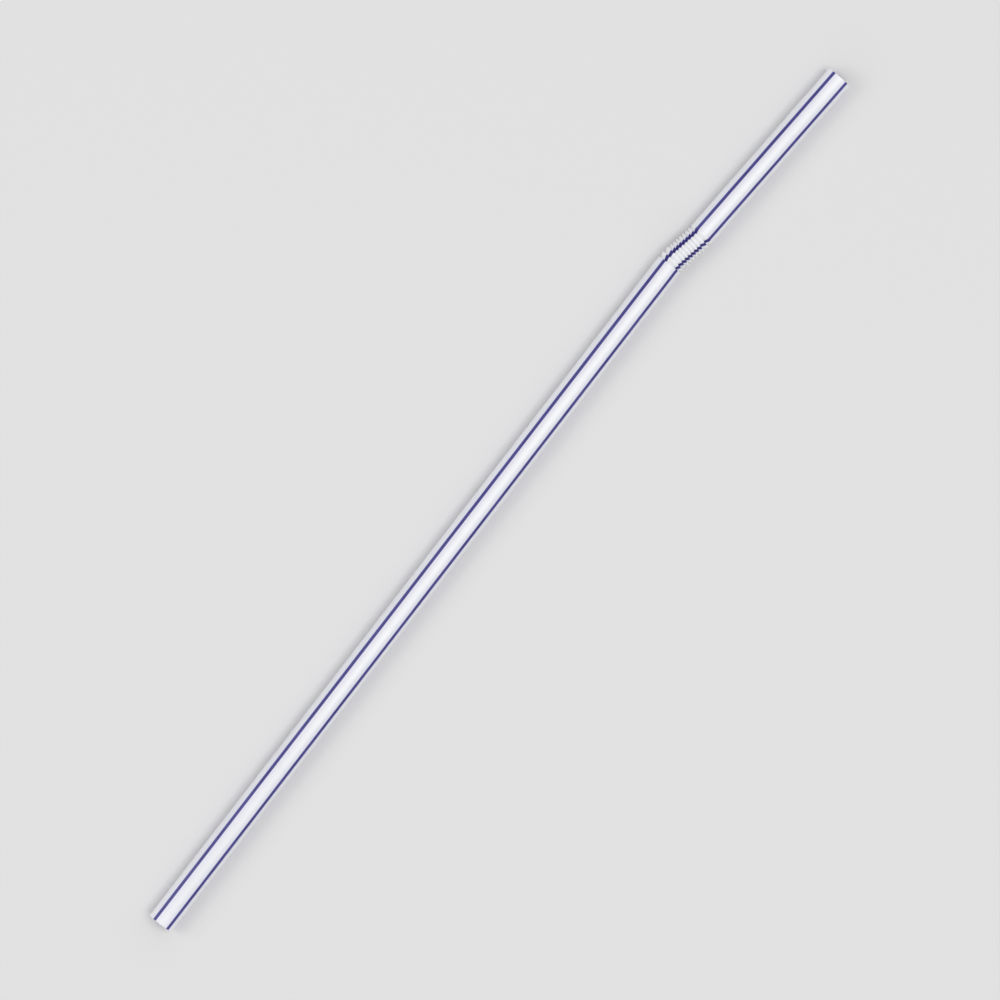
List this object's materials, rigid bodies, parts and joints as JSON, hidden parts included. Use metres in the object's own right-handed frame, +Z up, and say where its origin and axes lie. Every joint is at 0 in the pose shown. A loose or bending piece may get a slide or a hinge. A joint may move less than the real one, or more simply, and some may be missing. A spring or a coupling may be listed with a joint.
{
  "type": "flexible drinking straw",
  "caption": "Thin white drinking straw with lengthwise stripes and a bellows, pushed together and a little bent, near its mouth end.",
  "frame": {"origin": "middle of the lower end, the one that goes into the drink", "axes": "+X along the body towards the bellows and the mouth, +Z up from the surface that the straw lies on; the bend lies in the XY plane"},
  "size_m": [0.1975, 0.0086, 0.005],
  "materials": {
    "straw_plastic": "milky white thin polypropylene, smooth and softly glossy, with thin violet-blue lengthwise stripes"
  },
  "bodies": {
    "root": {"straw": "straw_plastic"}
  },
  "joints": []
}
